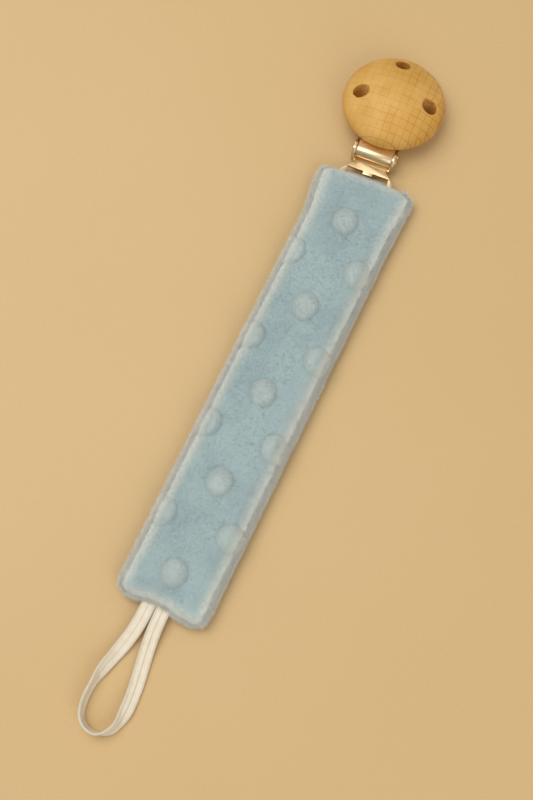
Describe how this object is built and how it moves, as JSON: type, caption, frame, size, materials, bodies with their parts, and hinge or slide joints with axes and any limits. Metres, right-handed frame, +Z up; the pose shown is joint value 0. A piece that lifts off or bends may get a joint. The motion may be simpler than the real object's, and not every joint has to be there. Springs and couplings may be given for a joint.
{
  "type": "soother clip strap",
  "caption": "Soother clip: padded dotted cloth strap with a hinged wooden dome clip at one end and an elastic loop for a pacifier at the other.",
  "frame": {"origin": "middle of the object's footprint without the elastic loop, on the surface that it lies on", "axes": "X across the strap, +Y along the strap towards the wooden dome, +Z up through the dotted face"},
  "size_m": [0.0318, 0.2122, 0.0138],
  "materials": {
    "beech_wood": "sanded, clear matt oil",
    "nickel_steel": "bright nickel plate, lightly worn",
    "insert_plastic": "moulded, satin",
    "minky_cloth": "soft short pile",
    "wadding": "bonded wadding",
    "ribbon": "woven grosgrain",
    "sewing_thread": "spun polyester thread",
    "elastic_band": "flat woven elastic"
  },
  "bodies": {
    "strap": {"front_panel": "minky_cloth", "back_panel": "minky_cloth", "padding": "wadding", "seam_threads": "sewing_thread", "elastic_tails": "elastic_band", "loop_stitches": "sewing_thread", "tab_stitches": "sewing_thread", "clip_tab": "ribbon", "elastic_loop": "elastic_band"},
    "clip": {"base_frame": "nickel_steel", "hinge_pin": "nickel_steel", "grip_insert": "insert_plastic"},
    "lever": {"top_plate": "nickel_steel", "wood_dome": "beech_wood", "dome_rivets": "nickel_steel"}
  },
  "joints": [
    {"name": "strap_swivel", "type": "hinge", "parent": "strap", "child": "clip", "pos_m": [0.00123, 0.04735, 0.003], "axis": [0.9962, 0.0872, 0], "range_deg": [-60, 60]},
    {"name": "dome_hinge", "type": "hinge", "parent": "clip", "child": "lever", "pos_m": [0.00054, 0.05522, 0.00467], "axis": [0.9962, 0.0872, 0], "range_deg": [0, 80]}
  ]
}
